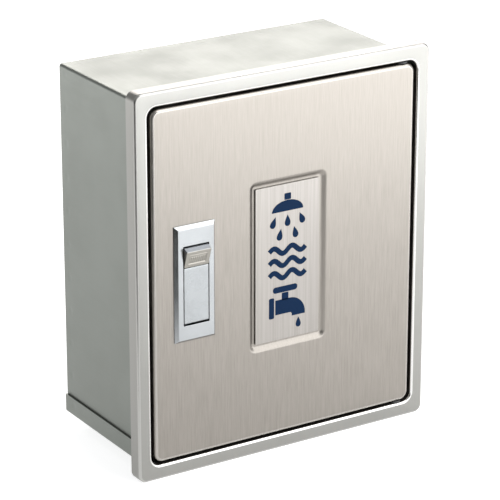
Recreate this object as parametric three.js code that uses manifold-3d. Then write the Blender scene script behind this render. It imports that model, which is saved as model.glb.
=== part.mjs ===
// Flush wall cabinet for a garden tap: a folded stainless box let into a wall, a channel-section
// frame round its mouth, and a hinged pan door with a push-and-pull flush latch.
// Millimetres. +Z up, +X to the right seen from the front, +Y into the wall.
// The origin is the centre of the back panel's outer face.

import * as THREE from "three";
import { mergeVertices } from "three/addons/utils/BufferGeometryUtils.js";
import Module from "manifold-3d";

const wasm = await Module();
wasm.setup();

// Driving dimensions of the box
const boxWidth = 185;
const boxHeight = 220;
const depth = 100; // frame face to the back panel's outer face
const sheet = 1.0;
const bendRadius = 2.0; // outside radius of a fold in the box
const joinGap = 0.3; // between pieces that are welded, glued or screwed together
const trayFlange = 12;
const backFlange = 12;

// Frame round the mouth
const frameOverhang = 7.5; // past the box, all round
const frameFaceSide = 8.5;
const frameFaceEnd = 9.0;
const frameReturn = 9.5; // depth of the outer skirt and of the inner lip
const frameCorner = 5.0;
const openingCorner = 6.0;
const foldRadius = 1.5; // outside radius of the folds at the frame's face

// Door
const doorGapSide = 2.0;
const doorGapEnd = 1.6;
const doorCorner = 5.5;
const doorFold = 2.2; // outside radius of the folds at the door's face
const doorReturn = 8.0;

// Pivots
const pivotInset = 7.3; // from the door's right edge
const pivotDepth = 4.0; // behind the door's face
const pivotRadius = 2.0;
const pivotHead = 1.6;
const pivotHeadEdge = 0.5;
const washerRim = 1.0; // past the rivet's head
const doublerLength = 24;
const doublerThickness = 1.2;

// Name plate and the recess pressed for it
const plateX = 1.5;
const plateZ = 0;
const plateWidth = 44;
const plateHeight = 96;
const plateThickness = 0.8;
const plateCorner = 0.6;
const plateEdge = 0.15;
const recessMargin = 1.2; // floor left round the plate
const recessSlope = 3.8;
const recessDepth = 1.8;
const recessCorner = 0.5; // of the floor

// Latch
const latchInset = 27.2; // its centre, from the door's left edge
const latchZ = 0.6;
const bezelWidth = 27.2;
const bezelHeight = 70.8;
const bezelProud = 2.5;
const bezelBevel = 1.8;
const windowWidth = 17.2;
const windowTop = 23.4;
const windowBottom = -25.0;
const windowCorner = 0.4;
const keyGap = 0.5; // round the button and the handle
const keyParting = 0.4; // between the button and the handle
const casePlay = 0.3; // between the window's edge and the inside of the case
const caseWall = 1.2;
const caseCorner = 1.0;
const caseBack = 1.5; // from the bolt to the back of the case
const casePinRadius = 1.0; // of the button's pin and of both spring pins
const coverThickness = 1.0;
const clampThickness = 1.5;
const clampBorder = 6;
const clampCorner = 2.0;
const screwShankRadius = 1.2;
const screwTipGap = 0.1; // behind the door's face
const screwHeadRadius = 2.4;
const screwHeadHeight = 1.8;
const screwHeadEdge = 0.7;
const crossHalf = 0.3; // half the width of a screw's cross cut
const crossDepth = 0.9;
const buttonHeight = 12.4;
const buttonProud = 3.6;
const buttonFoot = 0.2; // how proud the wedge is at its lower edge
const buttonLedge = 2.0; // drop of the sloping top face
const buttonEase = 0.4; // clear of the window's top as the button turns
const buttonPivotDepth = 1.5; // behind the door's face
const buttonPivotUp = 1.8; // from the button's lower edge
const buttonRear = 2.0; // from the pivot to the button's back
const buttonRearEdge = 1.0;
const panelWide = 0.74; // the sunk rectangle's share of the button's width
const panelTall = 0.42; // and of its sloping face
const panelUp = 0.44; // its centre, as a share of the way up the face
const panelSink = 0.3;
const handleThickness = 3.7;
const handleThin = 0.6; // share of the thickness kept above the hub
const handleEase = 0.8; // bevel along the handle's lower edge
const handleFootGap = 0.7;
const handlePivotUp = 1.9; // from the handle's lower edge
const handlePivotBack = 1.7; // from the handle's face
const pinRadius = 0.65;
const pinPlay = 0.3;
const springPinDepth = 8.0; // behind the door's face
const handleSpringZ = -18.5; // from the bezel's centre
const buttonSpringZ = 16.5;
const springRadius = 2.0;
const springWire = 0.35;
const springTurns = 5;
const springLength = 7.0;
const boltHeight = 10;
const boltThickness = 4;
const boltPlay = 0.4; // behind the keeper's lip
const boltReach = 5.0; // overlap behind the keeper's lip
const boltTail = 2.0;

// Keeper and door stops on the left wall
const keeperLip = 10.2;
const keeperHeight = 30;
const keeperLength = 18;
const stopHeight = 16;
const stopCornerGap = 16.5; // from where the opening's corner starts to the stop
const bracketSheet = 1.0;
const padThickness = 1.5;
const padWidth = 6;

// Back panel
const pipeHoleRadius = 20;
const pipeHoleZ = 35;
const grommetWall = 4.7;
const grommetLip = 3.3;
const grommetLipThickness = 2.0;
const grommetEdge = 0.8;
const fixingHoleRadius = 3;
const fixingX = 70;
const fixingZ = 90;

// Places that follow from the sizes above
const face = -depth;
const frameWidth = boxWidth + 2 * frameOverhang;
const frameHeight = boxHeight + 2 * frameOverhang;
const openingWidth = frameWidth - 2 * frameFaceSide;
const openingHeight = frameHeight - 2 * frameFaceEnd;
const stopHeightUp = openingHeight / 2 - openingCorner - stopCornerGap - stopHeight / 2;
const boxFront = face + frameReturn + joinGap;
const wallInside = boxWidth / 2 - sheet;
const doorWidth = openingWidth - 2 * doorGapSide;
const doorHeight = openingHeight - 2 * doorGapEnd;
const pivotX = doorWidth / 2 - pivotInset;
const pivotY = face + pivotDepth;
const pivotHeadRadius = pivotDepth - sheet - joinGap;
const latchX = -doorWidth / 2 + latchInset;
const wallLeft = -wallInside + joinGap;
const padBack = face + doorReturn + joinGap + padThickness;
const keeperFront = padBack + joinGap;
const boltDepth = keeperFront + bracketSheet + boltPlay - face;
const caseDepth = boltDepth + boltThickness + caseBack;
const curveSteps = 5;

// ---- shapes and solids ----

function roundedRect(width, height, radius, x = 0, z = 0) {
  const right = width / 2;
  const top = height / 2;
  const shape = new THREE.Shape();
  shape.moveTo(x - right + radius, z - top);
  shape.lineTo(x + right - radius, z - top);
  shape.absarc(x + right - radius, z - top + radius, radius, -Math.PI / 2, 0);
  shape.lineTo(x + right, z + top - radius);
  shape.absarc(x + right - radius, z + top - radius, radius, 0, Math.PI / 2);
  shape.lineTo(x - right + radius, z + top);
  shape.absarc(x - right + radius, z + top - radius, radius, Math.PI / 2, Math.PI);
  shape.lineTo(x - right, z - top + radius);
  shape.absarc(x - right + radius, z - top + radius, radius, Math.PI, 1.5 * Math.PI);
  return shape;
}

function polygon(points) {
  return new THREE.Shape(points.map(([a, b]) => new THREE.Vector2(a, b)));
}

// A shape drawn in X and Z, run from front (low Y) to back, with both ends rounded by `round`
// or, with one step, bevelled.
function alongY(shape, front, back, round = 0, steps = 3) {
  const geometry = new THREE.ExtrudeGeometry(shape, {
    depth: back - front - 2 * round,
    curveSegments: curveSteps,
    bevelEnabled: round > 0,
    bevelThickness: round,
    bevelSize: round,
    bevelOffset: -round,
    bevelSegments: steps,
  });
  geometry.rotateX(Math.PI / 2);
  geometry.translate(0, back - round, 0);
  return geometry;
}

// A shape drawn in Y and Z, run along X and centred on `x`
function alongX(shape, width, x = 0) {
  const geometry = new THREE.ExtrudeGeometry(shape, {
    depth: width,
    curveSegments: curveSteps,
    bevelEnabled: false,
  });
  geometry.applyMatrix4(new THREE.Matrix4().set(0, 0, 1, x - width / 2, 1, 0, 0, 0, 0, 1, 0, 0, 0, 0, 0, 1));
  return geometry;
}

// A shape drawn in X and Y, run up Z and centred on `z`
function alongZ(shape, height, z = 0) {
  const geometry = new THREE.ExtrudeGeometry(shape, {
    depth: height,
    curveSegments: curveSteps,
    bevelEnabled: false,
  });
  geometry.translate(0, 0, z - height / 2);
  return geometry;
}

function block(low, high) {
  const size = high.map((value, axis) => value - low[axis]);
  const geometry = new THREE.BoxGeometry(size[0], size[1], size[2]);
  geometry.translate((low[0] + high[0]) / 2, (low[1] + high[1]) / 2, (low[2] + high[2]) / 2);
  return geometry;
}

function rodX(radius, length, y, z, sides = 16) {
  const geometry = new THREE.CylinderGeometry(radius, radius, length, sides);
  geometry.rotateZ(Math.PI / 2);
  geometry.translate(0, y, z);
  return geometry;
}

function rodY(radius, front, back, x, z, sides = 24) {
  const geometry = new THREE.CylinderGeometry(radius, radius, back - front, sides);
  geometry.translate(x, (front + back) / 2, z);
  return geometry;
}

function rodZ(radius, low, high, x, y, sides = 24) {
  const geometry = new THREE.CylinderGeometry(radius, radius, high - low, sides);
  geometry.rotateX(Math.PI / 2);
  geometry.translate(x, y, (low + high) / 2);
  return geometry;
}

function solid(geometry) {
  const bare = geometry.clone();
  bare.deleteAttribute("normal");
  bare.deleteAttribute("uv");
  const merged = mergeVertices(bare, 1e-4);
  return new wasm.Manifold(new wasm.Mesh({
    numProp: 3,
    vertProperties: new Float32Array(merged.attributes.position.array),
    triVerts: new Uint32Array(merged.index.array),
  }));
}

function geometryOf(manifold) {
  const mesh = manifold.getMesh();
  const geometry = new THREE.BufferGeometry();
  geometry.setAttribute("position", new THREE.BufferAttribute(mesh.vertProperties, 3));
  geometry.setIndex(new THREE.BufferAttribute(mesh.triVerts, 1));
  geometry.computeVertexNormals();
  return geometry;
}

function cut(base, tools) {
  const rest = tools.reduce((body, tool) => body.subtract(solid(tool)), solid(base));
  return geometryOf(rest);
}

function join(pieces) {
  const whole = pieces.slice(1).reduce((body, piece) => body.add(solid(piece)), solid(pieces[0]));
  return geometryOf(whole);
}

// ---- finishes ----

function finish(color, roughness, metalness) {
  return new THREE.MeshStandardMaterial({ color, roughness, metalness });
}

const hairline = finish(0xcfcac4, 0.35, 1);
const millFinish = finish(0xa7aaa3, 0.3, 1);
const frameFinish = finish(0xd6d3ce, 0.25, 1);
const chrome = finish(0xe4e8ec, 0.08, 1);
const zinc = finish(0x9da0a2, 0.45, 1);
const steelPin = finish(0xb4b4b4, 0.3, 1);
const springSteel = finish(0x6d6e70, 0.35, 1);
const buttonFinish = finish(0xc9c1b2, 0.4, 0.8);
const rubber = finish(0x1c1c1d, 0.85, 0);
const nylon = finish(0xe9e7df, 0.6, 0);

const cabinet = new THREE.Group();

function add(parent, name, geometry, material, position = [0, 0, 0]) {
  const mesh = new THREE.Mesh(geometry, material);
  mesh.name = name;
  mesh.position.set(...position);
  parent.add(mesh);
}

// ---- the wall box ----

// Both sides and the top: one sheet folded over as an upside-down U
function bodyWrap() {
  const right = boxWidth / 2;
  const top = boxHeight / 2;
  const foot = -top + sheet + joinGap;
  const inner = bendRadius - sheet;
  const profile = new THREE.Shape();
  profile.moveTo(-right, foot);
  profile.lineTo(-right + sheet, foot);
  profile.lineTo(-right + sheet, top - bendRadius);
  profile.absarc(-right + bendRadius, top - bendRadius, inner, Math.PI, Math.PI / 2, true);
  profile.lineTo(right - bendRadius, top - sheet);
  profile.absarc(right - bendRadius, top - bendRadius, inner, Math.PI / 2, 0, true);
  profile.lineTo(right - sheet, foot);
  profile.lineTo(right, foot);
  profile.lineTo(right, top - bendRadius);
  profile.absarc(right - bendRadius, top - bendRadius, bendRadius, 0, Math.PI / 2);
  profile.lineTo(-right + bendRadius, top);
  profile.absarc(-right + bendRadius, top - bendRadius, bendRadius, Math.PI / 2, Math.PI);
  return alongY(profile, boxFront, 0);
}

// The bottom: a sheet whose side flanges stand up outside the walls
function bottomTray() {
  const right = boxWidth / 2 + joinGap + sheet;
  const foot = -boxHeight / 2;
  const rim = foot + trayFlange;
  const inner = bendRadius - sheet;
  const profile = new THREE.Shape();
  profile.moveTo(-right, rim);
  profile.lineTo(-right, foot + bendRadius);
  profile.absarc(-right + bendRadius, foot + bendRadius, bendRadius, Math.PI, 1.5 * Math.PI);
  profile.lineTo(right - bendRadius, foot);
  profile.absarc(right - bendRadius, foot + bendRadius, bendRadius, -Math.PI / 2, 0);
  profile.lineTo(right, rim);
  profile.lineTo(right - sheet, rim);
  profile.lineTo(right - sheet, foot + bendRadius);
  profile.absarc(right - bendRadius, foot + bendRadius, inner, 0, -Math.PI / 2, true);
  profile.lineTo(-right + bendRadius, foot + sheet);
  profile.absarc(-right + bendRadius, foot + bendRadius, inner, 1.5 * Math.PI, Math.PI, true);
  profile.lineTo(-right + sheet, rim);
  return alongY(profile, boxFront, 0);
}

// A shallow pan, its flanges turned forward inside the walls and spot-welded to them
function backPanel() {
  const right = wallInside - joinGap;
  const top = boxHeight / 2 - sheet - joinGap;
  const pan = block([-right, -backFlange - sheet, -top], [right, 0, top]);
  const hollow = block(
    [-right + sheet, -2 * backFlange, -top + sheet],
    [right - sheet, -sheet, top - sheet],
  );
  const holes = [rodY(pipeHoleRadius, -2 * sheet, sheet, 0, pipeHoleZ, 48)];
  for (const x of [-fixingX, fixingX]) {
    for (const z of [-fixingZ, fixingZ]) {
      holes.push(rodY(fixingHoleRadius, -2 * sheet, sheet, x, z, 16));
    }
  }
  return cut(pan, [hollow, ...holes]);
}

// Rubber bush pressed into the pipe hole from inside, flush with the back
function pipeGrommet() {
  const outer = pipeHoleRadius - joinGap;
  const bore = pipeHoleRadius - grommetWall;
  const lip = pipeHoleRadius + grommetLip;
  const lipBack = sheet + joinGap;
  const profile = [
    [bore, joinGap],
    [outer, joinGap],
    [outer, lipBack],
    [lip, lipBack],
    [lip, lipBack + grommetLipThickness - grommetEdge],
    [lip - grommetEdge, lipBack + grommetLipThickness],
    [bore, lipBack + grommetLipThickness],
    [bore, joinGap],
  ];
  const geometry = new THREE.LatheGeometry(profile.map(([r, h]) => new THREE.Vector2(r, h)), 32);
  geometry.rotateX(Math.PI);
  return geometryOf(solid(geometry));
}

add(cabinet, "body_wrap", bodyWrap(), millFinish);
add(cabinet, "bottom_tray", bottomTray(), millFinish);
add(cabinet, "back_panel", backPanel(), millFinish);
add(cabinet, "pipe_grommet", pipeGrommet(), rubber, [0, 0, pipeHoleZ]);

// ---- the frame ----

function ring(outerShape, innerShape) {
  outerShape.holes.push(innerShape);
  return outerShape;
}

// A channel open to the back: face, outer skirt and inner lip, with both face edges rounded
function frontFrame() {
  const back = face + frameReturn;
  const past = 2 * foldRadius;
  const hollowRound = foldRadius - 0.5 * sheet;
  const outside = ring(
    roundedRect(frameWidth, frameHeight, frameCorner),
    roundedRect(openingWidth, openingHeight, openingCorner),
  );
  const hollow = ring(
    roundedRect(frameWidth - 2 * sheet, frameHeight - 2 * sheet, frameCorner - sheet),
    roundedRect(openingWidth + 2 * sheet, openingHeight + 2 * sheet, openingCorner + sheet),
  );
  const trim = block([-frameWidth, back, -frameHeight], [frameWidth, back + 2 * past, frameHeight]);
  const tools = [
    trim,
    alongY(hollow, face + sheet, back + past, hollowRound, 2),
  ];
  for (const side of [-1, 1]) {
    const low = side * openingHeight / 2 - 2 * sheet;
    tools.push(rodZ(pivotRadius + joinGap, low, low + 4 * sheet, pivotX, pivotY));
  }
  return cut(alongY(outside, face, back + past, foldRadius), tools);
}

add(cabinet, "front_frame", frontFrame(), frameFinish);

// ---- pivots: a rivet through the frame's lip and the door's flange, at the top and the foot ----

const doorTop = doorHeight / 2;
const lipTop = openingHeight / 2;

// From inside the door up to the far side of the lip, with a head at each end
function pivotRivet() {
  const low = doorTop - sheet - joinGap - doublerThickness - joinGap;
  const high = lipTop + sheet + joinGap;
  const profile = [
    [0, low - pivotHead],
    [pivotHeadRadius - pivotHeadEdge, low - pivotHead],
    [pivotHeadRadius, low - pivotHead + pivotHeadEdge],
    [pivotHeadRadius, low],
    [pivotRadius, low],
    [pivotRadius, high],
    [pivotHeadRadius, high],
    [pivotHeadRadius, high + pivotHead],
    [0, high + pivotHead],
  ];
  const geometry = new THREE.LatheGeometry(profile.map(([r, h]) => new THREE.Vector2(r, h)), 24);
  geometry.rotateX(Math.PI / 2);
  return geometryOf(solid(geometry));
}

function pivotWasher() {
  const low = doorTop + joinGap;
  const high = lipTop - joinGap;
  const outside = rodZ(pivotHeadRadius + washerRim, low, high, 0, 0);
  return cut(outside, [rodZ(pivotRadius + joinGap, low - sheet, high + sheet, 0, 0)]);
}

// Pivots and washers are made for the top; the foot's are the same, turned over about Y.
for (const [place, turn] of [["upper", 0], ["lower", Math.PI]]) {
  const pivot = new THREE.Group();
  pivot.position.set(pivotX, pivotY, 0);
  pivot.rotation.y = turn;
  cabinet.add(pivot);
  add(pivot, `pivot_rivet_${place}`, pivotRivet(), steelPin);
  add(pivot, `pivot_washer_${place}`, pivotWasher(), nylon);
}

// ---- keeper and door stops, spot-welded to the left wall ----

// An angle: one leg on the wall, the other turned in behind the door's edge
function angle(height, lip, length) {
  const profile = polygon([
    [wallLeft, keeperFront],
    [wallLeft + lip, keeperFront],
    [wallLeft + lip, keeperFront + bracketSheet],
    [wallLeft + bracketSheet, keeperFront + bracketSheet],
    [wallLeft + bracketSheet, keeperFront + length],
    [wallLeft, keeperFront + length],
  ]);
  return alongZ(profile, height);
}

add(cabinet, "keeper", angle(keeperHeight, keeperLip, keeperLength), millFinish, [0, 0, latchZ]);
for (const [place, z] of [["upper", stopHeightUp], ["lower", -stopHeightUp]]) {
  const pad = block(
    [wallLeft, padBack - padThickness, -stopHeight / 2],
    [wallLeft + padWidth, padBack, stopHeight / 2],
  );
  add(cabinet, `stop_bracket_${place}`, angle(stopHeight, padWidth, keeperLength), millFinish, [0, 0, z]);
  add(cabinet, `stop_pad_${place}`, pad, rubber, [0, 0, z]);
}

// ---- the door ----

const windowHeight = windowTop - windowBottom;
const windowZ = (windowTop + windowBottom) / 2;
const caseInsideWidth = windowWidth + 2 * casePlay;
const caseInsideHeight = windowHeight + 2 * casePlay;
const caseWidth = caseInsideWidth + 2 * caseWall;
const caseHeight = caseInsideHeight + 2 * caseWall;
const screwUp = caseHeight / 2 + clampBorder / 2;
const doorScrewHole = screwShankRadius + joinGap;

// A pan with its edges folded back, a recess pressed for the plate and a hole for the latch
function doorPanel() {
  const back = face + doorReturn;
  const past = 2 * doorFold;
  const recessWidth = plateWidth + 2 * (recessMargin + recessSlope);
  const recessHeight = plateHeight + 2 * (recessMargin + recessSlope);
  const recessRound = recessSlope + recessCorner;
  const outline = roundedRect(doorWidth, doorHeight, doorCorner);
  const inside = roundedRect(doorWidth - 2 * sheet, doorHeight - 2 * sheet, doorCorner - sheet);
  const trim = block([-doorWidth, back, -doorHeight], [doorWidth, back + 2 * past, doorHeight]);
  const pressed = roundedRect(
    recessWidth + 2 * sheet, recessHeight + 2 * sheet, recessRound + sheet, plateX, plateZ,
  );
  const recess = roundedRect(recessWidth, recessHeight, recessRound, plateX, plateZ);
  const latchHole = roundedRect(
    caseWidth + 2 * joinGap, caseHeight + 2 * joinGap, caseCorner, latchX, latchZ + windowZ,
  );
  const shell = solid(alongY(outline, face, back + past, doorFold))
    .subtract(solid(trim))
    .subtract(solid(alongY(inside, face + sheet, back + 2 * past, doorFold - sheet, 2)));
  const boss = solid(alongY(pressed, face + 0.5 * sheet, face + sheet + recessDepth, 0));
  const press = solid(slopedRecess(recess));
  let panel = shell.add(boss).subtract(press);
  panel = panel.subtract(solid(alongY(latchHole, face - sheet, face + 2 * sheet)));
  for (const side of [-1, 1]) {
    const screwZ = latchZ + windowZ + side * screwUp;
    const screw = rodY(doorScrewHole, face - sheet, face + 2 * sheet, latchX, screwZ, 16);
    const ends = [side * (doorTop - doorCorner), side * (doorTop + sheet)];
    const pivot = rodZ(pivotRadius + joinGap, Math.min(...ends), Math.max(...ends), pivotX, pivotY);
    panel = panel.subtract(solid(screw)).subtract(solid(pivot));
  }
  return geometryOf(panel);
}

// The press tool for the recess: full size at the door's face, narrower at the floor
function slopedRecess(outline) {
  const geometry = new THREE.ExtrudeGeometry(outline, {
    depth: recessDepth,
    curveSegments: curveSteps,
    bevelEnabled: true,
    bevelThickness: recessDepth,
    bevelSize: recessSlope,
    bevelOffset: -recessSlope,
    bevelSegments: 3,
  });
  geometry.rotateX(Math.PI / 2);
  geometry.translate(0, face, 0);
  return geometry;
}

// A strip inside the door's flange that stiffens it round the pivot, shaped to the pan's corner
function hingeDoubler(side) {
  const gapWidth = doorWidth - 2 * (sheet + joinGap);
  const gapHeight = doorHeight - 2 * (sheet + joinGap);
  const outer = side * (doorTop - sheet - joinGap);
  const inner = outer - side * doublerThickness;
  const low = Math.min(outer, inner);
  const high = Math.max(outer, inner);
  const right = pivotX + pivotInset;
  const strip = block(
    [right - doublerLength, face + doorFold, low],
    [right, face + doorReturn - joinGap, high],
  );
  const room = roundedRect(gapWidth, gapHeight, doorCorner - sheet - joinGap);
  const hole = rodZ(pivotRadius + joinGap, low - sheet, high + sheet, pivotX, pivotY);
  const shaped = solid(strip).intersect(solid(alongY(room, face, face + 2 * doorReturn)));
  return geometryOf(shaped.subtract(solid(hole)));
}

function namePlate() {
  const back = recessDepth - joinGap;
  const outline = roundedRect(plateWidth, plateHeight, plateCorner);
  return alongY(outline, back - plateThickness, back, plateEdge, 1);
}

const door = new THREE.Group();
cabinet.add(door);
add(door, "door_panel", doorPanel(), hairline);
add(door, "name_plate", namePlate(), hairline, [plateX, face, plateZ]);
add(door, "hinge_doubler_upper", hingeDoubler(1), millFinish);
add(door, "hinge_doubler_lower", hingeDoubler(-1), millFinish);

// ---- the latch; its own origin is on the door's face, at the bezel's centre ----

const latch = new THREE.Group();
latch.position.set(latchX, face, latchZ);
door.add(latch);

const bezelBack = -joinGap;
const bezelFace = -bezelProud;
const keyWidth = windowWidth - 2 * keyGap;
const keyTop = windowTop - keyGap;
const keyBottom = windowBottom + handleFootGap;
const buttonBottom = keyTop - buttonHeight;
const handleTop = buttonBottom - keyParting;
const buttonPivotZ = buttonBottom + buttonPivotUp;
const handlePivotY = bezelFace + handlePivotBack;
const handlePivotZ = keyBottom + handlePivotUp;

// A flat frame with bevelled outer edges round the latch's window
function latchBezel() {
  const outline = polygon([
    [-bezelWidth / 2, -bezelHeight / 2],
    [bezelWidth / 2, -bezelHeight / 2],
    [bezelWidth / 2, bezelHeight / 2],
    [-bezelWidth / 2, bezelHeight / 2],
  ]);
  const past = bezelBack + 2 * bezelBevel;
  const trim = block([-bezelWidth, bezelBack, -bezelHeight], [bezelWidth, past + 1, bezelHeight]);
  const opening = roundedRect(windowWidth, windowHeight, windowCorner, 0, windowZ);
  const plate = alongY(outline, bezelFace, past, bezelBevel, 1);
  return cut(plate, [trim, alongY(opening, bezelFace - 1, past)]);
}

// An open box behind the window, with a slot for the bolt and holes for the button's pin
function latchCase() {
  const outside = alongY(roundedRect(caseWidth, caseHeight, caseCorner, 0, windowZ), 0, caseDepth);
  const inside = alongY(
    roundedRect(caseInsideWidth, caseInsideHeight, windowCorner, 0, windowZ), -1, caseDepth + 1,
  );
  const slotHeight = boltHeight + 2 * joinGap;
  const slot = block(
    [-caseWidth, boltDepth - joinGap, -slotHeight / 2],
    [0, boltDepth + boltThickness + joinGap, slotHeight / 2],
  );
  const pins = [
    [buttonPivotDepth, buttonPivotZ],
    [springPinDepth, handleSpringZ],
    [springPinDepth, buttonSpringZ],
  ].map(([y, z]) => rodX(casePinRadius + pinPlay, 2 * caseWidth, y, z));
  return cut(outside, [inside, slot, ...pins]);
}

function latchCover() {
  const outline = roundedRect(caseWidth, caseHeight, caseCorner, 0, windowZ);
  return alongY(outline, caseDepth + joinGap, caseDepth + joinGap + coverThickness);
}

// A plate round the case that the two screws pull against the inside of the door
function latchClamp() {
  const front = sheet + joinGap;
  const outline = roundedRect(
    caseWidth + clampBorder, caseHeight + 2 * clampBorder, clampCorner, 0, windowZ,
  );
  const hole = roundedRect(caseWidth + 2 * joinGap, caseHeight + 2 * joinGap, caseCorner, 0, windowZ);
  const tools = [alongY(hole, front - 1, front + 2 * clampThickness)];
  for (const side of [-1, 1]) {
    const z = windowZ + side * screwUp;
    tools.push(rodY(doorScrewHole, front - 1, front + 2 * clampThickness, 0, z, 16));
  }
  return cut(alongY(outline, front, front + clampThickness), tools);
}

// Pan-head screw from inside: shank, head, and a cross cut in the head
function latchScrew() {
  const seat = sheet + joinGap + clampThickness + joinGap;
  const top = seat + screwHeadHeight;
  const profile = [
    [0, screwTipGap],
    [screwShankRadius, screwTipGap],
    [screwShankRadius, seat],
    [screwHeadRadius, seat],
    [screwHeadRadius, top - screwHeadEdge],
    [screwHeadRadius - screwHeadEdge, top],
    [0, top],
  ];
  const screw = new THREE.LatheGeometry(profile.map(([r, h]) => new THREE.Vector2(r, h)), 16);
  const wing = 0.6 * screwHeadRadius;
  const across = block([-wing, top - crossDepth, -crossHalf], [wing, top + 1, crossHalf]);
  const up = block([-crossHalf, top - crossDepth, -wing], [crossHalf, top + 1, wing]);
  return cut(screw, [across, up]);
}

// A close coil round its pin
function torsionSpring(y, z) {
  class Coil extends THREE.Curve {
    getPoint(t, target = new THREE.Vector3()) {
      const turn = 2 * Math.PI * springTurns * t;
      return target.set(
        springLength * (t - 0.5), y + springRadius * Math.cos(turn), z + springRadius * Math.sin(turn),
      );
    }
  }
  const section = new THREE.Shape();
  section.absarc(0, 0, springWire, 0, 2 * Math.PI);
  const geometry = new THREE.ExtrudeGeometry(section, {
    steps: 12 * springTurns,
    curveSegments: 3,
    bevelEnabled: false,
    extrudePath: new Coil(),
  });
  return geometryOf(solid(geometry));
}

// A wedge: its top stands out of the window and its face slopes back to the bezel
function pushButton() {
  const apexZ = keyTop - buttonLedge;
  const back = buttonPivotDepth + buttonRear;
  const profile = polygon([
    [bezelFace, keyTop - buttonEase],
    [bezelFace - buttonProud, apexZ],
    [bezelFace - buttonFoot, buttonBottom],
    [back - buttonRearEdge, buttonBottom],
    [back, buttonBottom + buttonRearEdge],
    [back, keyTop - buttonEase],
  ]);
  const pin = rodX(casePinRadius + pinPlay, 2 * keyWidth, buttonPivotDepth, buttonPivotZ);
  return cut(alongX(profile, keyWidth), [pin, buttonPanel(apexZ)]);
}

// The shallow rectangle sunk in the wedge's sloping face
function buttonPanel(apexZ) {
  const run = apexZ - buttonBottom;
  const rise = buttonProud - buttonFoot;
  const geometry = new THREE.BoxGeometry(panelWide * keyWidth, 2 * panelSink, panelTall * run);
  geometry.rotateX(Math.atan2(rise, run));
  geometry.translate(0, bezelFace - buttonFoot - panelUp * rise, buttonBottom + panelUp * run);
  return geometry;
}

// The flat lever under the button: pivoted near its lower edge, its top end swings out
function pullHandle() {
  const back = bezelFace + handleThickness;
  const thin = bezelFace + handleThin * handleThickness;
  const profile = polygon([
    [bezelFace, handleTop],
    [bezelFace, keyBottom + handleEase],
    [bezelFace + handleEase, keyBottom],
    [back, keyBottom],
    [back, keyBottom + 2 * handlePivotUp],
    [thin, keyBottom + 3 * handlePivotUp],
    [thin, handleTop],
  ]);
  const pin = rodX(pinRadius + pinPlay, 2 * keyWidth, handlePivotY, handlePivotZ);
  return cut(alongX(profile, keyWidth), [pin]);
}

// A flat bar, its nose bevelled on the back so that the closing door pushes it in
function latchBolt() {
  const keeperEdge = wallLeft + keeperLip;
  const nose = keeperEdge - boltReach - latchX;
  const back = boltDepth + boltThickness;
  const profile = polygon([
    [nose, boltDepth],
    [boltTail, boltDepth],
    [boltTail, back],
    [nose + boltThickness, back],
  ]);
  return alongZ(profile, boltHeight);
}

add(latch, "latch_bezel", latchBezel(), chrome);
add(latch, "latch_case", latchCase(), zinc);
add(latch, "latch_cover", latchCover(), zinc);
add(latch, "latch_clamp", latchClamp(), zinc);
add(latch, "latch_screw_upper", latchScrew(), steelPin, [0, 0, windowZ + screwUp]);
add(latch, "latch_screw_lower", latchScrew(), steelPin, [0, 0, windowZ - screwUp]);
add(latch, "push_button", pushButton(), buttonFinish);
add(latch, "button_pin", rodX(casePinRadius, caseWidth, buttonPivotDepth, buttonPivotZ), steelPin);
add(latch, "pull_handle", pullHandle(), chrome);
add(latch, "handle_pin", rodX(pinRadius, windowWidth - 2 * keyGap, handlePivotY, handlePivotZ), steelPin);
add(latch, "button_spring", torsionSpring(springPinDepth, buttonSpringZ), springSteel);
add(latch, "button_spring_pin", rodX(casePinRadius, caseWidth, springPinDepth, buttonSpringZ), steelPin);
add(latch, "handle_spring", torsionSpring(springPinDepth, handleSpringZ), springSteel);
add(latch, "handle_spring_pin", rodX(casePinRadius, caseWidth, springPinDepth, handleSpringZ), steelPin);
add(latch, "latch_bolt", latchBolt(), zinc);

export default cabinet;
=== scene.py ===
"""Looks of a stainless wall cabinet for a garden tap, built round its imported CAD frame.

Metres, +Z up, the door faces -Y, and the origin is the centre of the back panel's outer face.
"""
import math

import bmesh
import bpy
import numpy as np
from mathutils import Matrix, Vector


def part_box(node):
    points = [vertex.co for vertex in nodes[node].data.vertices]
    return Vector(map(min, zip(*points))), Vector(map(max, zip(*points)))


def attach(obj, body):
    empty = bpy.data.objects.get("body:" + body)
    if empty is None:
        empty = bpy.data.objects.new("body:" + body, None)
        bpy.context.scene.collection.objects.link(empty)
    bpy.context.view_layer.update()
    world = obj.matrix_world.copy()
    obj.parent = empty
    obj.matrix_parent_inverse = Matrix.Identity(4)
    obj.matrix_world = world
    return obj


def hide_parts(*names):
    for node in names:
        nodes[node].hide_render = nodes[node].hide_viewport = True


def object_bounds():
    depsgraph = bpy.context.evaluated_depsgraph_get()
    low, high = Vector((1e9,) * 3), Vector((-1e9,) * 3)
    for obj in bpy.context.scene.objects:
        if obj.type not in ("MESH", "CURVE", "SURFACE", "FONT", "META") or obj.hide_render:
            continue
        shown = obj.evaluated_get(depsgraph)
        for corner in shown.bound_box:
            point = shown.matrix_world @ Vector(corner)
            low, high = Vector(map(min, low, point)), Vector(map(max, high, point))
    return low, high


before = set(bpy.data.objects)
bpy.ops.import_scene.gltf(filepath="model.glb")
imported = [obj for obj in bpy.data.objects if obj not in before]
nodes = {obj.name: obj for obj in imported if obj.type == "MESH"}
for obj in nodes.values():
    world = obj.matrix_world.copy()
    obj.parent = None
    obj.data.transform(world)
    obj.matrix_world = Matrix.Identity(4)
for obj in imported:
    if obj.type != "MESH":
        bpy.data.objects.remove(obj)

cad_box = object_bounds()
scene = bpy.context.scene
MM = 0.001


# ---- Camera ----
# A long lens, a little above the cabinet and to its left.

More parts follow.
